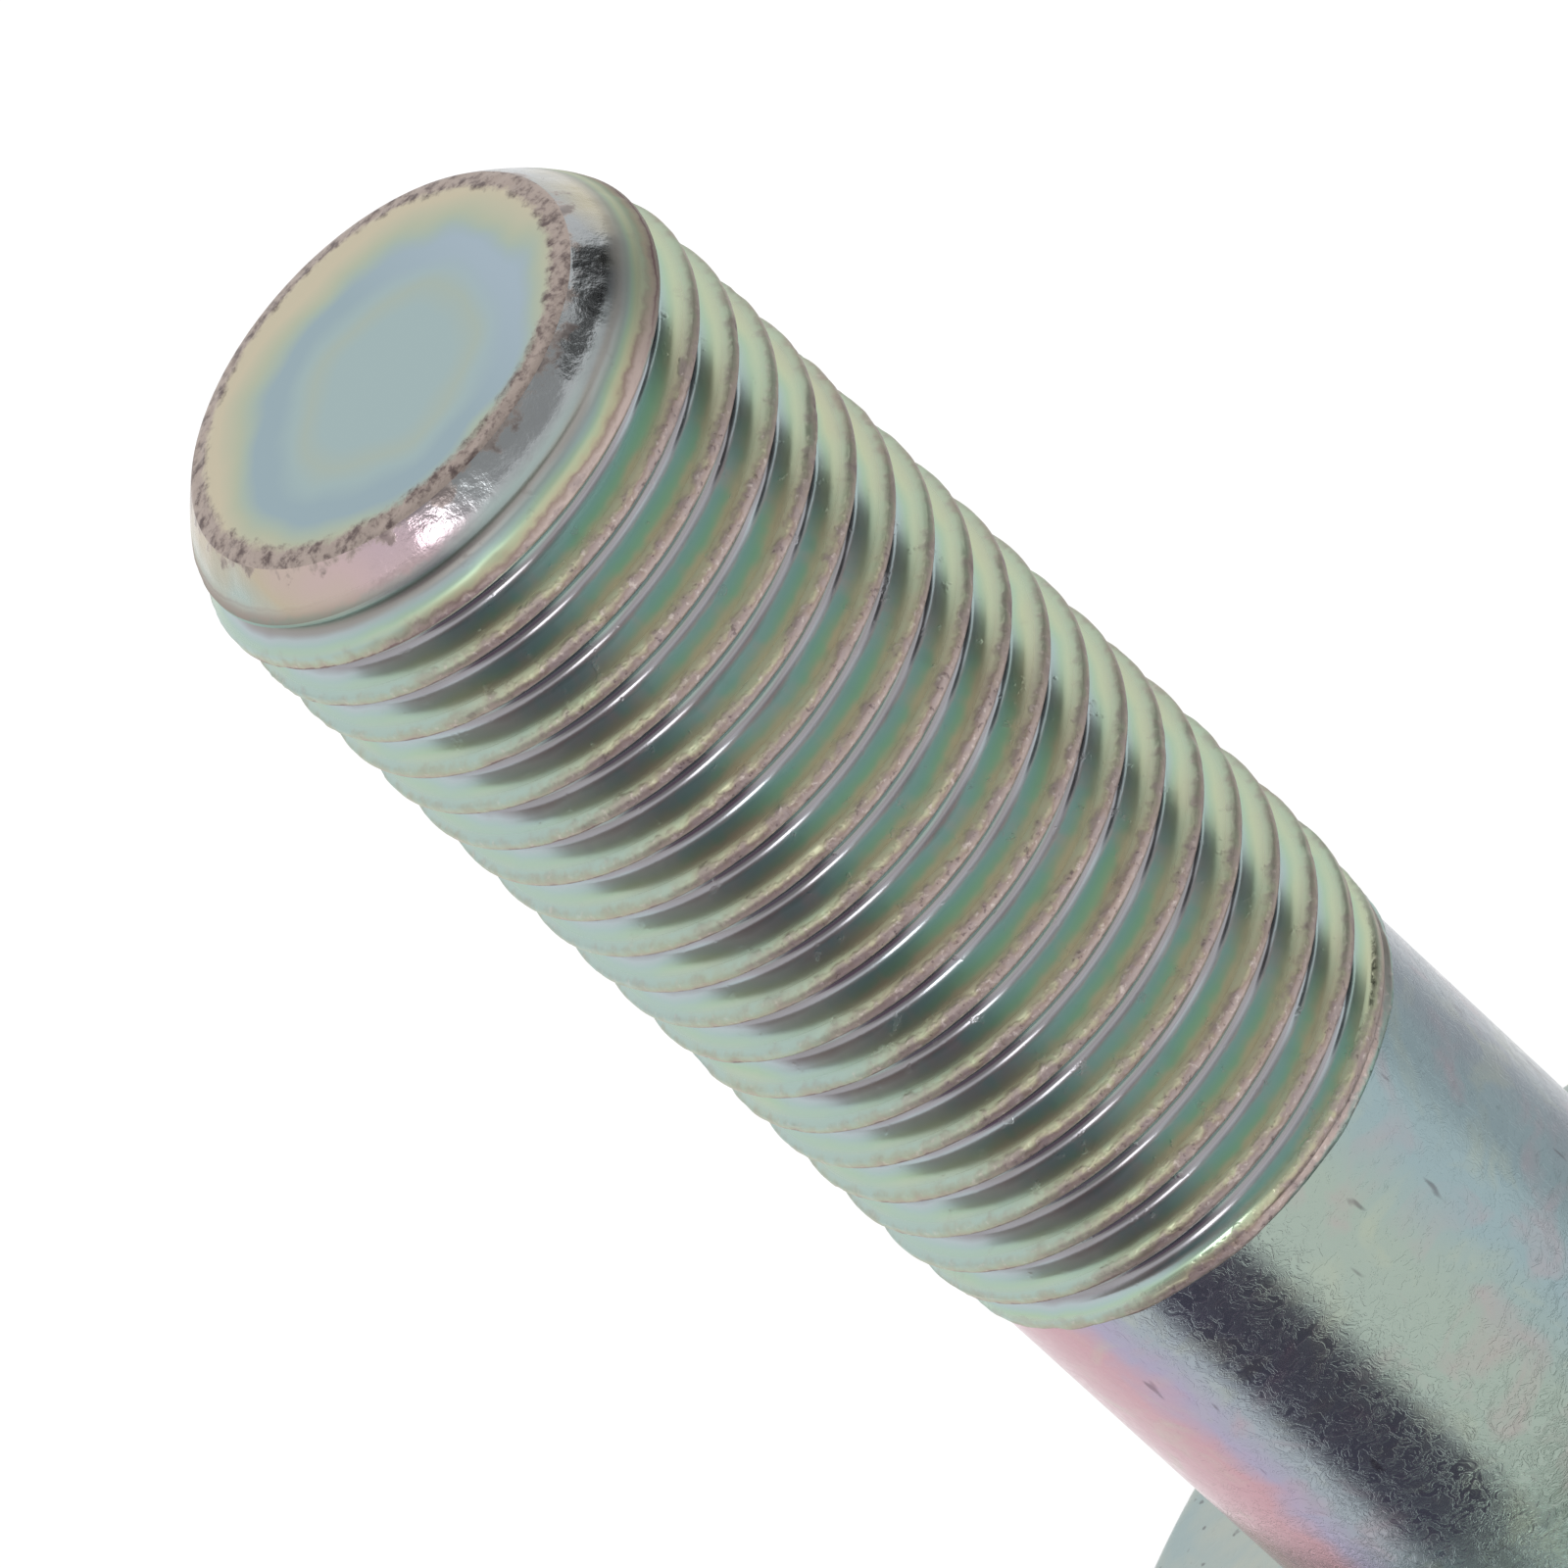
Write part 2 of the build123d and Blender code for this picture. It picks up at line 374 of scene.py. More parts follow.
    # Chips and laps, where the rolled metal met unevenly at the crest.
    around = add(tree, "ShaderNodeMath", [turn, 2 * math.pi], operation="MULTIPLY")
    cosine = add(tree, "ShaderNodeMath", [around], operation="COSINE")
    sine = add(tree, "ShaderNodeMath", [around], operation="SINE")
    crest_x = add(tree, "ShaderNodeMath", [cosine, given["Major radius"]], operation="MULTIPLY")
    crest_y = add(tree, "ShaderNodeMath", [sine, given["Major radius"]], operation="MULTIPLY")
    crest_point = add(tree, "ShaderNodeCombineXYZ", [crest_x, crest_y, height])
    chip_size, grain_size = 1.1 * MM, 0.35 * MM
    coarse, fine = (
        add(tree, "ShaderNodeTexNoise", {"Vector": crest_point, "W": given["Seed"], "Scale": 1 / size,
                                         "Detail": detail, "Roughness": 0.6}, noise_dimensions="4D")
        for size, detail in ((chip_size, 3.0), (grain_size, 2.0))
    )
    chips = add(tree, "ShaderNodeMapRange", [coarse, 0.52, 0.72, 0.0, 1.0], interpolation_type="SMOOTHSTEP")
    grain = add(tree, "ShaderNodeMath", [fine, 0.5], operation="SUBTRACT")
    rough = add(tree, "ShaderNodeMath", [grain, 0.9, chips], operation="MULTIPLY_ADD")
    # The cone has hardly any, and both ends stay true, so that the neighbouring rings fit.
    calm_zones = (
        (below_high, 0.5 * MM, 1.6 * MM, 0.15, "SMOOTHSTEP"),
        (below_high, 0.0, 0.1 * MM, 0.0, "LINEAR"),
        (above_low, 0.0, 0.15 * MM, 0.0, "LINEAR"),
    )
    for distance, near, far, least, way in calm_zones:
        share = add(tree, "ShaderNodeMapRange", [distance, near, far, least, 1.0], interpolation_type=way)
        rough = add(tree, "ShaderNodeMath", [rough, share], operation="MULTIPLY")
    depth = add(tree, "ShaderNodeMath", [rough, given["Chip depth"]], operation="MULTIPLY")
    depth = add(tree, "ShaderNodeMath", [depth, 0.0], operation="MAXIMUM")
    rough_crest = add(tree, "ShaderNodeMath", [crest, depth], operation="SUBTRACT")

    radius = add(tree, "ShaderNodeMath", [rough_crest, groove, given["Shoulder"]], operation="SMOOTH_MIN")
    # Next to the shank the rollers push up a low ring all round.
    ring_far = add(tree, "ShaderNodeMath", [given["Last ring"], 1.6], operation="MULTIPLY")
    ring = add(tree, "ShaderNodeMapRange", [above_low, given["Last ring"], ring_far, 1.0, 0.0],
               interpolation_type="SMOOTHSTEP")
    ring_uneven = add(tree, "ShaderNodeMapRange", [coarse, 0.3, 0.7, 0.6, 1.1])
    ring_height = add(tree, "ShaderNodeMath", [ring_uneven, given["Last ring height"],
                                               given["Pitch radius"]], operation="MULTIPLY_ADD")
    missing = add(tree, "ShaderNodeMath", [ring_height, radius], operation="SUBTRACT")
    missing = add(tree, "ShaderNodeMath", [missing, 0.0], operation="MAXIMUM")
    radius = add(tree, "ShaderNodeMath", [missing, ring, radius], operation="MULTIPLY_ADD")
    # It drops to the shank's own radius within a step, where the two meet.
    step = 0.04 * MM
    step_share = add(tree, "ShaderNodeMapRange", [above_low, 0.0, step, 0.0, 1.0])
    over_shank = add(tree, "ShaderNodeMath", [radius, given["Pitch radius"]], operation="SUBTRACT")
    radius = add(tree, "ShaderNodeMath", [over_shank, step_share, given["Pitch radius"]],
                 operation="MULTIPLY_ADD")

    # How far a place belongs to the crest, and how chipped it is, for the material. Both are kept
    # before the grid is rolled up, while its vertices still hold their shares.
    mask_starts, mask_full = -0.16 * MM, 0.04 * MM
    over = add(tree, "ShaderNodeMath", [groove, crest], operation="SUBTRACT")
    crest_mask = add(tree, "ShaderNodeMapRange", [over, mask_starts, mask_full, 0.0, 1.0],
                     interpolation_type="SMOOTHSTEP")
    # The cone itself is smooth up to where the first crest stands on it.
    smooth_end, crest_start = 1.2 * MM, 2.2 * MM
    on_crest = add(tree, "ShaderNodeMapRange", [below_high, smooth_end, crest_start, 0.0, 1.0],
                   interpolation_type="SMOOTHSTEP")
    crest_mask = add(tree, "ShaderNodeMath", [crest_mask, on_crest], operation="MULTIPLY")
    crest_mask = add(tree, "ShaderNodeMath", [crest_mask, ring], operation="MAXIMUM")
    stored = grid
    for name, value in (("crest", crest_mask), ("chips", chips)):
        stored = add(tree, "GeometryNodeStoreNamedAttribute", {"Geometry": stored, "Name": name,
                                                               "Value": value})
    x = add(tree, "ShaderNodeMath", [cosine, radius], operation="MULTIPLY")
    y = add(tree, "ShaderNodeMath", [sine, radius], operation="MULTIPLY")
    rolled_place = add(tree, "ShaderNodeCombineXYZ", [x, y, height])
    rolled = add(tree, "GeometryNodeSetPosition", {"Geometry": stored, "Position": rolled_place})
    # The rows that were pressed flat at both ends become one ring each, and the seam closes.
    same_place = 0.001 * MM
    merged = add(tree, "GeometryNodeMergeByDistance", {"Geometry": rolled, "Distance": same_place})
    smooth = add(tree, "GeometryNodeSetShadeSmooth", {"Geometry": merged})
    real = add(tree, "GeometryNodeRealizeInstances", {"Geometry": smooth})
    painted = add(tree, "GeometryNodeSetMaterial", {"Geometry": real, "Material": given["Material"]})
    add(tree, "NodeGroupOutput", [painted])
    return tree


def rolled_thread(sizes, material):
    """The threaded end as a plain mesh."""
    inputs = thread_inputs(sizes, material)
    tree = thread_tree(inputs)
    carrier = bpy.data.objects.new("thread carrier", bpy.data.meshes.new("thread carrier"))
    bpy.context.scene.collection.objects.link(carrier)
    modifier = carrier.modifiers.new("rolled thread", "NODES")
    modifier.node_group = tree
    identifiers = {s.name: s.identifier for s in tree.interface.items_tree if s.in_out == "INPUT"}
    for name, _, value in inputs:
        modifier[identifiers[name]] = value
    bpy.context.view_layer.update()
    depsgraph = bpy.context.evaluated_depsgraph_get()
    mesh = bpy.data.meshes.new_from_object(
        carrier.evaluated_get(depsgraph), preserve_all_data_layers=True, depsgraph=depsgraph
    )
    carrier.modifiers.remove(modifier)
    bpy.data.objects.remove(carrier)
    return mesh


# ---------------------------------------------------------------------------------------------
# The rest of the forging: rings of one radius for each column
# ---------------------------------------------------------------------------------------------

def arc_points(centre, radius, start, stop, steps):
    """Points (radius, height) along an arc, with its angles in degrees from outwards."""
    angles = [math.radians(start + (stop - start) * i / steps) for i in range(steps + 1)]
    return [(centre[0] + radius * math.cos(a), centre[1] + radius * math.sin(a)) for a in angles]


def spaced(start, stop, steps):
    """Points between two (radius, height) points, without the ends."""
    return [
        (start[0] + (stop[0] - start[0]) * i / steps, start[1] + (stop[1] - start[1]) * i / steps)
        for i in range(1, steps)
    ]


def head_rings(sizes, turns):
    """Rings (radii, heights) from the hexagon's top, through the flange, to the shank's upper end."""
    apothem = sizes.across_flats / 2
    corner = apothem / math.cos(math.radians(30))
    from_flat = np.degrees(turns) % 60 - 30
    hexagon = np.minimum(apothem / np.cos(np.radians(from_flat)), corner - sizes.corner_round)
    ones = np.ones_like(turns)
    chamfer_start = apothem - sizes.chamfer_inset
    slope = math.tan(math.radians(30))
    chamfer = (hexagon - chamfer_start) * slope
    shank = sizes.pitch_radius
    flange = cad_high.x
    rim_bottom = BEARING_HEIGHT - sizes.rim_height
    collar_width, corner_step = 0.3 * MM, 0.2 * MM
    collar = corner + collar_width
    collar_height = rim_bottom - (flange - collar) * math.tan(sizes.back_angle)
    edge = 0.12 * MM

    rings = [(ones * share * chamfer_start, ones * 0) for share in (0.02, 0.25, 0.5, 0.75, 0.93, 0.985)]
    rings += [(chamfer_start + (hexagon - chamfer_start) * share, chamfer * share)
              for share in (0.06, 0.3, 0.6, 0.9)]
    # A ring just inside the corner between the chamfer and the sides makes it a worn edge.
    rings += [(hexagon - 0.02 * MM, chamfer + 0.01 * MM), (hexagon, chamfer + edge)]
    hollow = 0.3 * MM
    side = collar_height - hollow - chamfer - edge
    rings += [(hexagon, chamfer + edge + side * share) for share in (0.25, 0.5, 0.75, 1)]
    # A small hollow curve joins the hexagon's sides to the flange's back.
    for outwards, below in ((0.05 * MM, 0.12 * MM), (0.15 * MM, 0.02 * MM)):
        rings.append((hexagon + outwards, ones * (collar_height - below)))
    rings.append((np.maximum(hexagon + hollow, corner - corner_step), ones * collar_height))

    # From the collar over the rim, the bearing face and the neck to the thread.
    back = [(collar, collar_height)]
    back += spaced((collar, collar_height), (flange, rim_bottom), 8)
    back_round, back_rise, rim_start = 0.25 * MM, 0.16 * MM, 0.3 * MM
    back += arc_points((flange - back_round, rim_bottom + back_rise), back_round, -70, 0, 4)
    rim_top = BEARING_HEIGHT - sizes.rim_round
    back += spaced((flange, rim_bottom + rim_start), (flange, rim_top), 4)
    back += arc_points((flange - sizes.rim_round, rim_top), sizes.rim_round, 0, 90, 5)
    face_edge = (flange - sizes.rim_round - edge, BEARING_HEIGHT)
    neck_foot = shank + sizes.neck
    back += [face_edge]
    back += spaced(face_edge, (neck_foot, BEARING_HEIGHT), 8)
    back += arc_points((neck_foot, BEARING_HEIGHT + sizes.neck), sizes.neck, 270, 180, 6)
    shank_top = cad_high.z - sizes.thread_length
    back += spaced((shank, BEARING_HEIGHT + sizes.neck), (shank, shank_top), 14)
    # A ring close to the thread keeps the shank's shading level up to it.
    back += [(shank, shank_top - 0.02 * MM), (shank, shank_top)]
    return rings + [(ones * radius, ones * height) for radius, height in back]


def end_rings(sizes, turns):
    """Rings (radii, heights) from the point's cone, over the sheared ring, to the end face's middle."""
    end = cad_high.z
    ones = np.ones_like(turns)
    rings = [(ones * sizes.cone_radius, ones * (end - sizes.ring_drop))]
    steps = 5
    tear_size, tear_height, most_torn, sunk = 0.45 * MM, 0.05 * MM, 0.2, 0.012 * MM
    wander_size, wander_width = tear_size / 0.35, 0.07 * MM
    inwards = sizes.face_radius - sizes.cone_radius
    for step in range(1, steps + 1):
        share = step / steps
        fall = (1 - share) ** 1.5 * (0.7 + 0.3 * share)
        radii, heights = [], []
        for turn in turns:
            at = Vector((math.cos(turn), math.sin(turn), share * 0.12)) * sizes.face_radius
            torn = noise.fractal(at / tear_size + Vector((sizes.seed, 0, 0)), 0.7, 2.0, 3)
            wander = noise.noise(at / wander_size + Vector((0, sizes.seed, 0)))
            tear = min(torn, most_torn) * tear_height - sunk if step < steps else 0
            radii.append(sizes.cone_radius + inwards * share + wander * wander_width)
            heights.append(end - sizes.ring_drop * fall + tear)
        rings.append((np.array(radii), np.minimum(np.array(heights), end)))
    inner = rings[-1][0]
    for share in (0.97, 0.9, 0.75, 0.6, 0.45, 0.3, 0.15, 0.03):
        rings.append((inner * share, ones * end))
    return rings


def rings_mesh(name, rings, turns, close_first, close_last):
    """A mesh of quads between rings, with a pole in the middle of the first or last ring."""
    columns = len(turns)
    points = np.concatenate([
        np.stack([radii * np.cos(turns), radii * np.sin(turns), heights], axis=1)
        for radii, heights in rings
    ])
    faces = []
    for row in range(len(rings) - 1):
        for column in range(columns):
            beside = (column + 1) % columns
            faces.append((row * columns + column, row * columns + beside,
                          (row + 1) * columns + beside, (row + 1) * columns + column))
    points = [tuple(p) for p in points]
    last = (len(rings) - 1) * columns
    if close_first:
        points.append((0, 0, float(rings[0][1][0])))
        faces += [((column + 1) % columns, column, len(points) - 1) for column in range(columns)]
    if close_last:
        points.append((0, 0, float(rings[-1][1][0])))
        faces += [(last + column, last + (column + 1) % columns, len(points) - 1)
                  for column in range(columns)]
    mesh = bpy.data.meshes.new(name)
    mesh.from_pydata(points, [], faces)
    mesh.shade_smooth()
    return mesh


def joined(name, meshes):
    """One object of several meshes, with the rings where they meet merged."""
    objects = []
    for mesh in meshes:
        part = bpy.data.objects.new(name, mesh)
        bpy.context.scene.collection.objects.link(part)
        objects.append(part)
    with bpy.context.temp_override(object=objects[0], active_object=objects[0], selected_objects=objects,
                                   selected_editable_objects=objects):
        bpy.ops.object.join()
    whole = objects[0]
    whole.name = name
    same_place = 0.002 * MM
    shape = bmesh.new()
    shape.from_mesh(whole.data)
    bmesh.ops.remove_doubles(shape, verts=shape.verts, dist=same_place)
    bmesh.ops.recalc_face_normals(shape, faces=shape.faces)
    open_edges = sum(1 for edge in shape.edges if len(edge.link_faces) != 2)
    shape.to_mesh(whole.data)
    shape.free()
    if open_edges:
        raise RuntimeError(f"{name} has {open_edges} edges without two faces")
    return whole


# ---------------------------------------------------------------------------------------------
# Materials
# ---------------------------------------------------------------------------------------------

def new_material(name):
    """An empty material, and its tree."""
    material = bpy.data.materials.new(name)
    material.use_nodes = True
    material.node_tree.nodes.clear()
    return material, material.node_tree


def strip(tree, value, middle, near, far, inside, outside):
    """One level beside a middle value and another far from it, with a smooth change between."""
    gap = add(tree, "ShaderNodeMath", [value, middle], operation="SUBTRACT")
    gap = add(tree, "ShaderNodeMath", [gap], operation="ABSOLUTE")
    return add(tree, "ShaderNodeMapRange", [gap, near, far, inside, outside],
               interpolation_type="SMOOTHSTEP")


def plated_surface(tree, tint, layers, roughness, relief, strength, depth):
    """Ends a material's tree: plated metal of a tint, under layers that are a share and a colour."""
    for share, shade in layers:
        tint = add(tree, "ShaderNodeMix", {0: share, 6: tint, 7: shade}, data_type="RGBA").outputs[2]
    bump = add(tree, "ShaderNodeBump", {"Strength": strength, "Distance": depth, "Height": relief})
    surface = add(tree, "ShaderNodeBsdfPrincipled", {"Metallic": 1.0, "Base Color": tint,
                                                     "Roughness": roughness, "Normal": bump})
    add(tree, "ShaderNodeOutputMaterial", [surface])


def thread_material(sizes, colours):
    """Zinc plate with an iridescent passivation on a rolled thread: its tints run across the groove."""
    material, tree = new_material("passivated zinc on rolled thread")
    place = add(tree, "ShaderNodeTexCoord").outputs["Object"]
    xyz = add(tree, "ShaderNodeSeparateXYZ", [place])
    # Patterns from soft clouds to fine grit: their size in mm, detail and roughness.
    patterns = ((2.5, 2.0, 0.5), (1.3, 1.0, 0.5), (0.5, 4.0, 0.6), (0.45, 3.0, 0.6), (0.16, 3.0, 0.6))
    cloud, swell, tears, patches, grit = (
        add(tree, "ShaderNodeTexNoise", {"Vector": place, "Scale": 1 / (size * MM), "Detail": detail,
                                         "Roughness": roughness})
        for size, detail, roughness in patterns
    )
    layers = []

    # Where a place lies across the ridge: 0.2 in the root, 0.7 on the crest, and between the two on
    # the flank that faces the point. The film's thickness, and so its tint, wanders a little, and
    # is less towards -X.
    around = add(tree, "ShaderNodeMath", [xyz.outputs["Y"], xyz.outputs["X"]], operation="ARCTAN2")
    turn = add(tree, "ShaderNodeMath", [around, 2 * math.pi], operation="DIVIDE")
    above = add(tree, "ShaderNodeMath", [xyz.outputs["Z"], helix_base(sizes)], operation="SUBTRACT")
    pitches = add(tree, "ShaderNodeMath", [above, sizes.pitch], operation="DIVIDE")
    across = add(tree, "ShaderNodeMath", [turn, pitches], operation="SUBTRACT")
    across = add(tree, "ShaderNodeMath", [across, 0.2], operation="ADD")
    across = add(tree, "ShaderNodeMath", [across], operation="FRACT")
    drift = add(tree, "ShaderNodeMapRange", [cloud, 0.3, 0.7, -0.045, 0.045])
    side = add(tree, "ShaderNodeMapRange", [xyz.outputs["X"], -sizes.major_radius, sizes.major_radius,
                                            -0.07, 0.02])
    drift = add(tree, "ShaderNodeMath", [drift, side], operation="ADD")
    film = add(tree, "ShaderNodeMath", [across, drift], operation="ADD")
    # The crest's edge is ragged, so its tint starts unevenly.
    fray = add(tree, "ShaderNodeMapRange", [patches, 0.3, 0.7, -0.055, 0.055])
    near_crest = add(tree, "ShaderNodeMapRange", [across, 0.5, 0.6, 0.0, 1.0])
    film = add(tree, "ShaderNodeMath", [fray, near_crest, film], operation="MULTIPLY_ADD")
    # The grey at the root is partly the film's lilac and partly painted shade at the bottom of the groove.
    tint = add(tree, "ShaderNodeValToRGB", [film], stops=[
        (0.06, colours.back_flank), (0.20, colours.root), (0.27, colours.root_edge),
        (0.325, colours.flank_low), (0.375, colours.flank_teal), (0.435, colours.flank_mid),
        (0.495, colours.flank_high), (0.565, colours.shoulder), (0.635, colours.crest_edge),
        (0.72, colours.crest), (0.84, colours.crest), (0.92, colours.back_flank),
    ])

    # The point's cone: cool towards -X, warm and pink beside it, and sandy towards +X.
    sides = add(tree, "ShaderNodeMapRange", [xyz.outputs["X"], -sizes.major_radius, sizes.major_radius])
    cone_drift = add(tree, "ShaderNodeMapRange", [cloud, 0.3, 0.7, -0.05, 0.05])
    sides = add(tree, "ShaderNodeMath", [sides, cone_drift], operation="ADD")
    cone_tint = add(tree, "ShaderNodeValToRGB", [sides], stops=[
        (0.05, colours.cone_cool), (0.12, colours.cone_warm), (0.24, colours.cone_pink),
        (0.33, colours.cone_mauve), (0.48, colours.cone_slate), (0.92, colours.cone_slate),
        (0.98, colours.cone_sand),
    ])
    depth = add(tree, "ShaderNodeMath", [cad_high.z, xyz.outputs["Z"]], operation="SUBTRACT")
    on_cone = add(tree, "ShaderNodeMapRange", [depth, 0.6 * MM, 1.2 * MM, 1.0, 0.0],
                  interpolation_type="SMOOTHSTEP")
    layers.append((on_cone, cone_tint))

    # The tears of the sheared end run on over the cone as dull blotches.
    reach = add(tree, "ShaderNodeMapRange", [depth, 0.15 * MM, 0.6 * MM, 0.0, 0.3])
    torn = add(tree, "ShaderNodeMath", [tears, reach], operation="SUBTRACT")
    torn = add(tree, "ShaderNodeMapRange", [torn, 0.42, 0.56, 0.0, 0.8], interpolation_type="SMOOTHSTEP")
    torn = add(tree, "ShaderNodeMath", [torn, on_cone], operation="MULTIPLY")
    torn_tint = add(tree, "ShaderNodeMapRange", [tears, 0.5, 0.65, 0.0, 0.8])
    torn_tint = add(tree, "ShaderNodeMix", {0: torn_tint, 6: colours.torn, 7: colours.torn_dark},
                    data_type="RGBA").outputs[2]
    layers.append((torn, torn_tint))

    # Towards -X and +X the crest is not pink: it runs from green over sand to a brown edge.
    middle, near, far = (share * sizes.major_radius for share in (0.1, 0.45, 0.85))
    aside = strip(tree, xyz.outputs["X"], middle, near, far, 0.0, 1.0)
    crest_zone = add(tree, "ShaderNodeMapRange", [across, 0.45, 0.56, 0.0, 0.9])
    plain_crest = add(tree, "ShaderNodeMath", [aside, crest_zone], operation="MULTIPLY")
    below_cone = add(tree, "ShaderNodeMath", [1.0, on_cone], operation="SUBTRACT")
    plain_crest = add(tree, "ShaderNodeMath", [plain_crest, below_cone], operation="MULTIPLY")
    start_tint = add(tree, "ShaderNodeMix", {0: sides, 6: colours.flank_teal, 7: colours.flank_mid},
                     data_type="RGBA").outputs[2]
    plain_ramp = add(tree, "ShaderNodeValToRGB", [film], stops=[
        (0.62, colours.side_crest), (0.70, colours.side_sand), (0.78, colours.side_brown),
    ])
    over_start = add(tree, "ShaderNodeMapRange", [film, 0.5, 0.62, 0.0, 1.0])
    plain_tint = add(tree, "ShaderNodeMix", {0: over_start, 6: start_tint, 7: plain_ramp},
                     data_type="RGBA").outputs[2]
    layers.append((plain_crest, plain_tint))

    # The crest is rough where the metal of both flanks met: grey stretches, nicks, burnished flecks.
    crest = add(tree, "ShaderNodeAttribute", attribute_name="crest").outputs["Fac"]
    chips = add(tree, "ShaderNodeAttribute", attribute_name="chips").outputs["Fac"]
    ragged = add(tree, "ShaderNodeMapRange", [patches, 0.3, 0.7, -0.4, 0.4])
    rough = add(tree, "ShaderNodeMath", [crest, ragged], operation="ADD")
    rough = add(tree, "ShaderNodeMapRange", [rough, 0.2, 0.8, 0.0, 1.0], interpolation_type="SMOOTHSTEP")
    calm = add(tree, "ShaderNodeMath", [aside, -0.6, 1.0], operation="MULTIPLY_ADD")
    rough = add(tree, "ShaderNodeMath", [rough, calm], operation="MULTIPLY")
    for pattern, start, full, shade in (
        (patches, 0.42, 0.65, colours.crest_grey),
        (grit, 0.58, 0.7, colours.crest_fleck),
    ):
        share = add(tree, "ShaderNodeMapRange", [pattern, start, full, 0.0, 0.6])
        layers.append((add(tree, "ShaderNodeMath", [share, rough], operation="MULTIPLY"), shade))
    nick = add(tree, "ShaderNodeMapRange", [grit, 0.40, 0.32, 0.0, 0.5])
    nick = add(tree, "ShaderNodeMath", [nick, rough], operation="MULTIPLY")
    lap = add(tree, "ShaderNodeMath", [chips, 0.15, nick], operation="MULTIPLY_ADD")
    lap = add(tree, "ShaderNodeMath", [lap, rough], operation="MULTIPLY", use_clamp=True)
    layers.append((lap, colours.chip))

    # A thin dark line of painted shadow where the crest's lip curls over on the head's side: broken
    # and faint in the middle, strong towards -X and +X.
    wander = add(tree, "ShaderNodeMapRange", [patches, 0.3, 0.7, -0.03, 0.03])
    shadow_line = add(tree, "ShaderNodeMath", [across, wander], operation="ADD")
    shadow_line = strip(tree, shadow_line, 0.785, 0.008, 0.03, 1.0, 0.0)
    broken = add(tree, "ShaderNodeMapRange", [patches, 0.4, 0.6, 0.0, 0.1])
    broken = add(tree, "ShaderNodeMath", [aside, 0.65, broken], operation="MULTIPLY_ADD")
    for share in (broken, below_cone):
        shadow_line = add(tree, "ShaderNodeMath", [shadow_line, share], operation="MULTIPLY")
    layers.append((shadow_line, colours.edge_shadow))

    # The first groove is only a fold in the cone: a dull line of painted shade, and the ridge beside
    # it is dull too.
    fold_shade = strip(tree, across, 0.26, 0.06, 0.16, 0.4, 0.0)
    first = add(tree, "ShaderNodeMapRange", [depth, 1.3 * MM, 1.8 * MM, 1.0, 0.0])
    begun = add(tree, "ShaderNodeMapRange", [depth, 0.6 * MM, 0.9 * MM, 0.0, 1.0])
    first = add(tree, "ShaderNodeMath", [first, begun], operation="MULTIPLY")
    fold_shade = add(tree, "ShaderNodeMath", [fold_shade, first], operation="MULTIPLY")
    layers.append((fold_shade, colours.fold_shade))

    # The roots are the smoothest, and the crests the dullest.
    dullness = add(tree, "ShaderNodeMapRange", [across, 0.26, 0.4, 0.16, 0.2])
    shoulder = add(tree, "ShaderNodeMapRange", [across, 0.5, 0.6, 0.0, 0.2])
    dullness = add(tree, "ShaderNodeMath", [shoulder, below_cone, dullness], operation="MULTIPLY_ADD")
    dullness = add(tree, "ShaderNodeMapRange", [rough, 0.0, 0.8, dullness, 0.5])
    for zone, extra in ((first, 0.3), (torn, 0.12)):
        dullness = add(tree, "ShaderNodeMath", [zone, extra, dullness], operation="MULTIPLY_ADD")

    # Crumbs on the crests, and a torn, swelling surface on the cone.
    crumbs = add(tree, "ShaderNodeMath", [grit, rough], operation="MULTIPLY")
    lumps = add(tree, "ShaderNodeMath", [swell, 4.0, tears], operation="MULTIPLY_ADD")
    lumps = add(tree, "ShaderNodeMath", [lumps, on_cone], operation="MULTIPLY")
    relief = add(tree, "ShaderNodeMath", [lumps, 1.2, crumbs], operation="MULTIPLY_ADD")
    plated_surface(tree, tint, layers, dullness, relief, 0.7, 0.035 * MM)
    return material


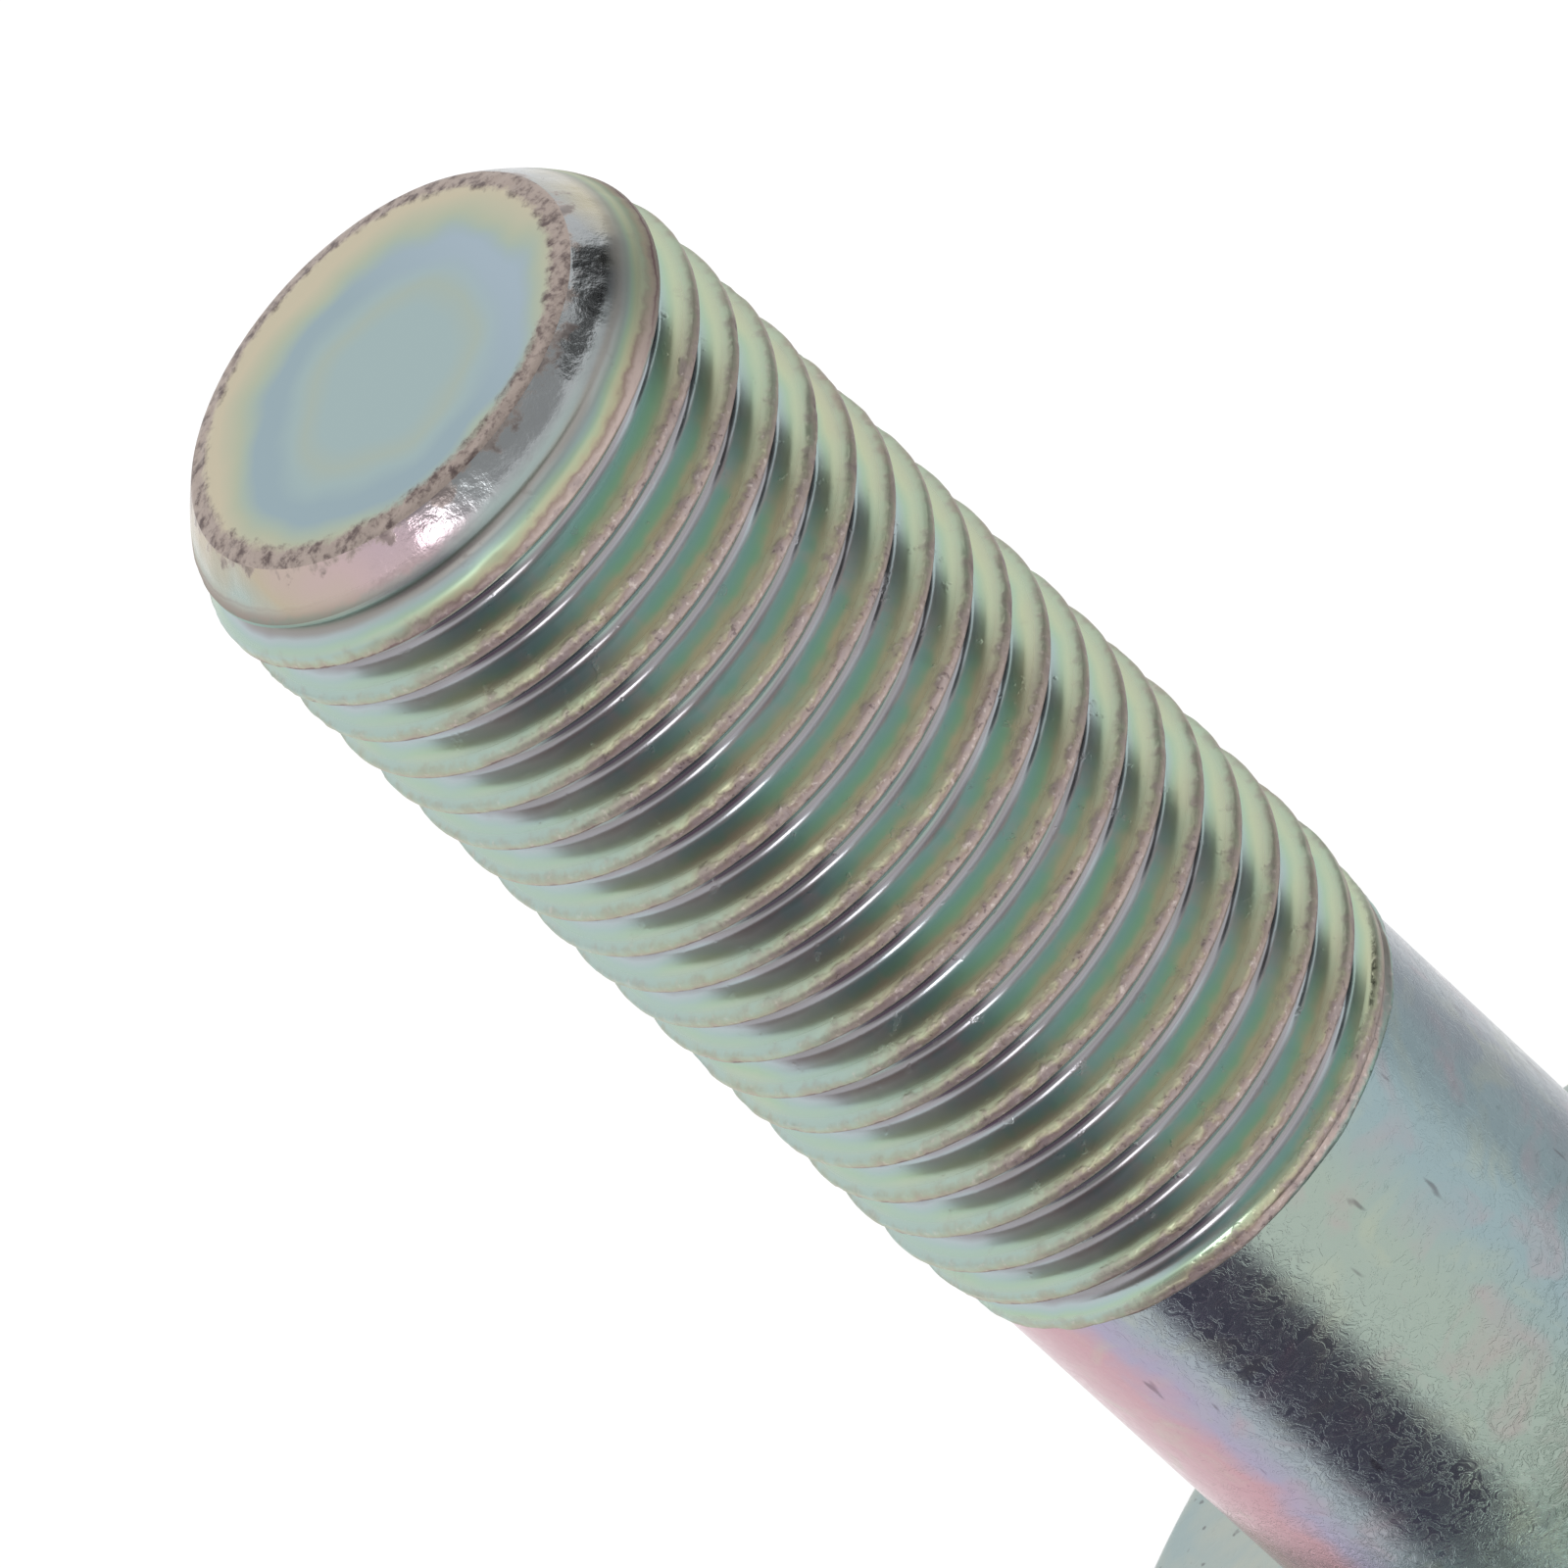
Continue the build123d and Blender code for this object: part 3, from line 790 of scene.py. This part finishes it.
def end_material(sizes, colours):
    """Zinc plate on the sheared end: smooth in the middle, with rings of tints, and torn at the edge."""
    material, tree = new_material("passivated zinc on sheared end")
    place = add(tree, "ShaderNodeTexCoord").outputs["Object"]
    xyz = add(tree, "ShaderNodeSeparateXYZ", [place])
    flat = add(tree, "ShaderNodeCombineXYZ", [xyz.outputs["X"], xyz.outputs["Y"]])

    # The rings of the film lie a little off the face's middle, as the liquid ran off the edge.
    rings_reach, middle_shift, ring_drift = 4.94 * MM, 0.62 * MM, 0.22 * MM
    from_middle = add(tree, "ShaderNodeVectorMath", [flat, (0, -middle_shift, 0)], operation="DISTANCE")
    cloud = add(tree, "ShaderNodeTexNoise", {"Vector": flat, "Scale": 1 / (2.2 * MM), "Detail": 1.5})
    drift = add(tree, "ShaderNodeMapRange", [cloud, 0.3, 0.7, -ring_drift, ring_drift])
    out = add(tree, "ShaderNodeMath", [from_middle.outputs["Value"], drift], operation="ADD")
    out = add(tree, "ShaderNodeMath", [out, rings_reach], operation="DIVIDE")
    tint = add(tree, "ShaderNodeValToRGB", [out], stops=[
        (0.0, colours.face_middle), (0.33, colours.face_middle), (0.44, colours.face_green),
        (0.52, colours.face_middle), (0.61, colours.face_blue), (0.69, colours.face_blue),
        (0.75, colours.face_aqua), (0.80, colours.face_straw), (0.90, colours.face_sand),
    ])
    layers = []

    # The blue ring is paler towards +X.
    sky_ring = add(tree, "ShaderNodeMapRange", [xyz.outputs["X"], 0.5 * MM, 3.0 * MM, 0.0, 0.75])
    for near, far, first, last in ((0.45, 0.6, 0.0, 1.0), (0.69, 0.76, 1.0, 0.0)):
        share = add(tree, "ShaderNodeMapRange", [out, near, far, first, last])
        sky_ring = add(tree, "ShaderNodeMath", [sky_ring, share], operation="MULTIPLY")
    layers.append((sky_ring, colours.face_sky))

    # The sheared ring, with a ragged inner edge, and dark in its tears.
    ragged = 0.12 * MM
    ring_start, ring_full = sizes.face_radius - 0.08 * MM, sizes.face_radius + 0.1 * MM
    centred = add(tree, "ShaderNodeVectorMath", [flat], operation="LENGTH").outputs["Value"]
    speckle = add(tree, "ShaderNodeTexNoise", {"Vector": place, "Scale": 1 / (0.38 * MM), "Detail": 5.0,
                                               "Roughness": 0.7})
    edge = add(tree, "ShaderNodeMapRange", [speckle, 0.3, 0.7, -ragged, ragged])
    edge = add(tree, "ShaderNodeMath", [centred, edge], operation="ADD")
    ring = add(tree, "ShaderNodeMapRange", [edge, ring_start, ring_full])
    dark = add(tree, "ShaderNodeMapRange", [speckle, 0.44, 0.66, 0.0, 1.0],
               interpolation_type="SMOOTHSTEP")
    torn = add(tree, "ShaderNodeMix", {0: dark, 6: colours.torn, 7: colours.torn_dark},
               data_type="RGBA").outputs[2]
    layers.append((ring, torn))

    dullness = add(tree, "ShaderNodeMapRange", [ring, 0.0, 1.0, 0.3, 0.42])
    grain = add(tree, "ShaderNodeTexNoise", {"Vector": place, "Scale": 1 / (0.2 * MM), "Detail": 3.0})
    faint = add(tree, "ShaderNodeMath", [grain, 0.04], operation="MULTIPLY")
    height = add(tree, "ShaderNodeMath", [speckle, ring, faint], operation="MULTIPLY_ADD")
    plated_surface(tree, tint, layers, dullness, height, 0.6, 0.05 * MM)
    return material


def shank_material(sizes, colours):
    """Zinc plate on forged steel: a cloudy film with faint fibrous mottling, for shank and head."""
    material, tree = new_material("passivated zinc on forged steel")
    place = add(tree, "ShaderNodeTexCoord").outputs["Object"]
    xyz = add(tree, "ShaderNodeSeparateXYZ", [place])
    # Patterns from clouds to fine fibres: their size in mm, roughness and distortion.
    patterns = ((2.2, 0.55, 0.4), (1.6, 0.5, 0.8), (0.36, 0.6, 1.6))
    cloud, cast, fibre = (
        add(tree, "ShaderNodeTexNoise", {"Vector": place, "Scale": 1 / (size * MM), "Detail": 3.0,
                                         "Roughness": roughness, "Distortion": distortion})
        for size, roughness, distortion in patterns
    )

    # The tints run across the shank from -X to +X. On the +Y side they lie further towards -X.
    behind = add(tree, "ShaderNodeMath", [xyz.outputs["Y"], 0.0], operation="MAXIMUM")
    sides = add(tree, "ShaderNodeMath", [behind, 0.45, xyz.outputs["X"]], operation="MULTIPLY_ADD")
    sides = add(tree, "ShaderNodeMapRange", [sides, -sizes.pitch_radius, sizes.pitch_radius])
    drift = add(tree, "ShaderNodeMapRange", [cloud, 0.3, 0.7, -0.025, 0.025])
    sides = add(tree, "ShaderNodeMath", [sides, drift], operation="ADD")
    tint = add(tree, "ShaderNodeValToRGB", [sides], stops=[
        (0.06, colours.shank_pink), (0.105, colours.shank_lilac), (0.16, colours.shank_blue),
        (0.42, colours.shank_mint), (0.58, colours.shank_mint), (0.72, colours.shank_aqua),
        (0.88, colours.shank_aqua), (0.97, colours.shank_slate),
    ])
    layers = []
    for start, full, most, shade in (
        (0.55, 0.75, 0.3, colours.shank_pink),
        (0.45, 0.28, 0.4, colours.face_straw),
    ):
        layers.append((add(tree, "ShaderNodeMapRange", [cast, start, full, 0.0, most]), shade))

    # The flange and the head are paler and have no stripes.
    flat = add(tree, "ShaderNodeCombineXYZ", [xyz.outputs["X"], xyz.outputs["Y"]])
    from_axis = add(tree, "ShaderNodeVectorMath", [flat], operation="LENGTH").outputs["Value"]
    on_flange = add(tree, "ShaderNodeMapRange", [from_axis, sizes.pitch_radius + 0.1 * MM,
                                                 sizes.pitch_radius + 1.2 * MM, 0.0, 1.0])
    head_tint = add(tree, "ShaderNodeMapRange", [cloud, 0.35, 0.65, 0.0, 1.0])
    head_tint = add(tree, "ShaderNodeMix", {0: head_tint, 6: colours.shank_aqua, 7: colours.face_sand},
                    data_type="RGBA").outputs[2]
    head_tint = add(tree, "ShaderNodeMix", {0: 0.6, 6: head_tint, 7: colours.flange},
                    data_type="RGBA").outputs[2]
    layers.append((on_flange, head_tint))

    # Fine curled fibres, where the film dried in a tangle, and a few short dark scratches.
    curl = strip(tree, fibre, 0.5, 0.0, 0.06, 1.0, 0.0)
    height = add(tree, "ShaderNodeMath", [curl, 0.3, fibre], operation="MULTIPLY_ADD")
    stretched = add(tree, "ShaderNodeMapping", {"Vector": place, "Rotation": (0, 0, 0.6),
                                                "Scale": (1.0, 1.0, 0.25)})
    scratch = add(tree, "ShaderNodeTexNoise", {"Vector": stretched, "Scale": 1 / (0.35 * MM),
                                               "Detail": 2.0})
    scratch = add(tree, "ShaderNodeMapRange", [scratch, 0.7, 0.76, 0.0, 0.5])
    layers.append((scratch, colours.chip))
    dullness = add(tree, "ShaderNodeMapRange", [fibre, 0.35, 0.65, 0.12, 0.22])
    plated_surface(tree, tint, layers, dullness, height, 0.6, 0.01 * MM)
    return material


# ---------------------------------------------------------------------------------------------
# Operators
# ---------------------------------------------------------------------------------------------

class BOLT_OT_forge(bpy.types.Operator):
    """Builds the bolt as one forged and rolled piece"""

    bl_idname = "bolt.forge"
    bl_label = "Bolt"

    def execute(self, context):
        sizes, colours = context.scene.bolt_sizes, context.scene.bolt_colours
        turns = np.arange(sizes.columns) * 2 * math.pi / sizes.columns
        thread = rolled_thread(sizes, thread_material(sizes, colours))
        head = rings_mesh("head and shank", head_rings(sizes, turns), turns, True, False)
        head.materials.append(shank_material(sizes, colours))
        end = rings_mesh("end", end_rings(sizes, turns), turns, False, True)
        end.materials.append(end_material(sizes, colours))
        bolt = joined("plated_bolt", [thread, head, end])
        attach(bolt, "root")
        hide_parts(NODE)
        return {"FINISHED"}


class BOLT_OT_studio(bpy.types.Operator):
    """Builds the floor, the light and the camera"""

    bl_idname = "bolt.studio"
    bl_label = "Studio"

    def execute(self, context):
        settings = context.scene.bolt_studio
        scene = context.scene
        scene.view_settings.view_transform = "Standard"
        self.camera(scene, settings)
        self.world(scene)
        self.floor(settings)
        self.lamp(settings)
        return {"FINISHED"}

    def camera(self, scene, settings):
        """A long lens that looks down at the end face, rolled so that the bolt lies across the picture."""
        data = bpy.data.cameras.new("camera")
        data.lens = settings.lens
        camera = bpy.data.objects.new("camera", data)
        scene.collection.objects.link(camera)
        towards = Vector((0, -math.cos(settings.elevation), math.sin(settings.elevation)))
        target = Vector((settings.target_side, 0, cad_high.z - settings.target_depth))
        camera.location = target + towards * settings.distance
        camera.rotation_mode = "QUATERNION"
        upright = (-towards).to_track_quat("-Z", "Y")
        camera.rotation_quaternion = upright @ Quaternion((0, 0, 1), settings.roll)
        scene.camera = camera

    def world(self, scene):
        """White all round, in which the metal also sees soft darker cards."""
        world = bpy.data.worlds.new("studio")
        world.use_nodes = True
        tree = world.node_tree
        tree.nodes.clear()
        path = add(tree, "ShaderNodeLightPath")
        direction = add(tree, "ShaderNodeTexCoord").outputs["Generated"]
        # Each card: bearing towards +X from the camera's side, rise, half-width and softness in
        # degrees, and how bright it is against the white.
        cards = (
            (27, 77, 40, 20, 0.5),
            (95, 22, 14, 5, 0.06),
            (73, 33, 9, 5, 0.06),
            (-45, 12, 20, 14, 0.5),
            (102, 4, 18, 12, 0.18),
        )
        level = 1.0
        for bearing, rise, half_width, softness, card_level in cards:
            bearing, rise = math.radians(bearing), math.radians(rise)
            flat = math.cos(rise)
            way = (math.sin(bearing) * flat, -math.cos(bearing) * flat, math.sin(rise))
            aligned = add(tree, "ShaderNodeVectorMath", [direction, way], operation="DOT_PRODUCT")
            inner = math.cos(math.radians(half_width - softness / 2))
            outer = math.cos(math.radians(half_width + softness / 2))
            card = add(tree, "ShaderNodeMapRange", [aligned.outputs["Value"], outer, inner, 1.0,
                                                    card_level], interpolation_type="SMOOTHSTEP")
            level = add(tree, "ShaderNodeMath", [level, card], operation="MULTIPLY")
        seen = add(tree, "ShaderNodeMix", [path.outputs["Is Glossy Ray"], None, 1.0, level])
        background = add(tree, "ShaderNodeBackground", {"Strength": seen})
        background.inputs["Color"].default_value = (1, 1, 1, 1)
        add(tree, "ShaderNodeOutputWorld", [background])
        # The cards are there for reflected rays alone, so the world is not sampled as a lamp.
        world.cycles.sampling_method = "NONE"
        scene.world = world

    def floor(self, settings):
        """A wide pale floor that takes the bolt's shadow, with two cards seen only in reflections."""
        reach = 3.0
        mesh = bpy.data.meshes.new("floor")
        corners = [(-reach, -reach, 0), (reach, -reach, 0), (reach, reach, 0), (-reach, reach, 0)]
        mesh.from_pydata(corners, [], [(0, 1, 2, 3)])
        floor = bpy.data.objects.new("floor", mesh)
        bpy.context.scene.collection.objects.link(floor)
        material, tree = new_material("white paper")
        path = add(tree, "ShaderNodeLightPath")
        paper = add(tree, "ShaderNodeBsdfDiffuse", [settings.paper])
        seen = add(tree, "ShaderNodeMath", [path.outputs["Is Camera Ray"], path.outputs["Is Glossy Ray"]],
                   operation="MAXIMUM")
        paper_glow = 0.15
        strength = add(tree, "ShaderNodeMath", [seen, paper_glow], operation="MULTIPLY")
        glow = add(tree, "ShaderNodeEmission", [(1, 1, 1, 1), strength])
        shown = add(tree, "ShaderNodeAddShader", [paper, glow])
        # A card is a wedge of the floor, seen from the bolt's axis.
        place = add(tree, "ShaderNodeTexCoord").outputs["Object"]
        xyz = add(tree, "ShaderNodeSeparateXYZ", [place])
        forwards = add(tree, "ShaderNodeMath", [xyz.outputs["Y"], -1.0], operation="MULTIPLY")
        bearing = add(tree, "ShaderNodeMath", [xyz.outputs["X"], forwards], operation="ARCTAN2")
        away = add(tree, "ShaderNodeVectorMath", [place], operation="LENGTH").outputs["Value"]
        near_end, far_start = 50 * MM, 65 * MM
        far = add(tree, "ShaderNodeMapRange", [away, near_end, far_start, 0.0, 1.0])
        # Each card: bearing towards +X from the camera's side, half-width and softness in degrees,
        # and its colours near the bolt and far from it.
        cards = (
            (-47, 24, 13, settings.dark_card_near, settings.dark_card),
            (100, 28, 24, settings.grey_card_near, settings.grey_card),
        )
        for middle, half_width, softness, near_tint, far_tint in cards:
            inner = math.radians(half_width - softness / 2)
            outer = math.radians(half_width + softness / 2)
            card = strip(tree, bearing, math.radians(middle), inner, outer, 1.0, 0.0)
            card = add(tree, "ShaderNodeMath", [card, path.outputs["Is Glossy Ray"]], operation="MULTIPLY")
            tint = add(tree, "ShaderNodeMix", {0: far, 6: near_tint, 7: far_tint}, data_type="RGBA")
            shine = add(tree, "ShaderNodeEmission", [tint.outputs[2], 1.0])
            shown = add(tree, "ShaderNodeMixShader", [card, shown, shine])
        add(tree, "ShaderNodeOutputMaterial", [shown])
        mesh.materials.append(material)

    def lamp(self, settings):
        """A small bright lamp at the left that draws lines in the grooves."""
        bearing, rise = settings.key_bearing, settings.key_rise
        flat = math.cos(rise)
        way = Vector((-math.sin(bearing) * flat, -math.cos(bearing) * flat, math.sin(rise)))
        thread_middle = Vector((0, 0, cad_high.z * 0.7))
        data = bpy.data.lights.new("key lamp", "AREA")
        data.shape = "DISK"
        data.size = settings.key_size
        # A flat lamp's power is its radiance times its area times pi.
        data.energy = settings.key_radiance * math.pi * math.pi * data.size ** 2 / 4
        lamp = bpy.data.objects.new("key lamp", data)
        lamp.location = thread_middle + way * settings.key_reach
        lamp.rotation_mode = "QUATERNION"
        lamp.rotation_quaternion = (-way).to_track_quat("-Z", "Y")
        bpy.context.scene.collection.objects.link(lamp)


class BOLT_PT_panel(bpy.types.Panel):
    """Lists the sizes, the colours and the steps"""

    bl_idname = "BOLT_PT_panel"
    bl_label = "Camshaft bolt"
    bl_space_type = "VIEW_3D"
    bl_region_type = "UI"
    bl_category = "Bolt"

    def draw(self, context):
        for group in (context.scene.bolt_sizes, context.scene.bolt_colours, context.scene.bolt_studio):
            box = self.layout.box()
            for name in group.__annotations__:
                box.prop(group, name)
        for operator in OPERATORS:
            self.layout.operator(operator.bl_idname)


OPERATORS = (BOLT_OT_forge, BOLT_OT_studio)
CLASSES = (BoltSizes, BoltColours, StudioSettings, *OPERATORS, BOLT_PT_panel)


def register():
    for cls in CLASSES:
        bpy.utils.register_class(cls)
    bpy.types.Scene.bolt_sizes = bpy.props.PointerProperty(type=BoltSizes)
    bpy.types.Scene.bolt_colours = bpy.props.PointerProperty(type=BoltColours)
    bpy.types.Scene.bolt_studio = bpy.props.PointerProperty(type=StudioSettings)


def unregister():
    del bpy.types.Scene.bolt_studio
    del bpy.types.Scene.bolt_colours
    del bpy.types.Scene.bolt_sizes
    for cls in reversed(CLASSES):
        bpy.utils.unregister_class(cls)


def main():
    register()
    bpy.ops.bolt.forge()
    bpy.ops.bolt.studio()


if __name__ == "__main__":
    main()
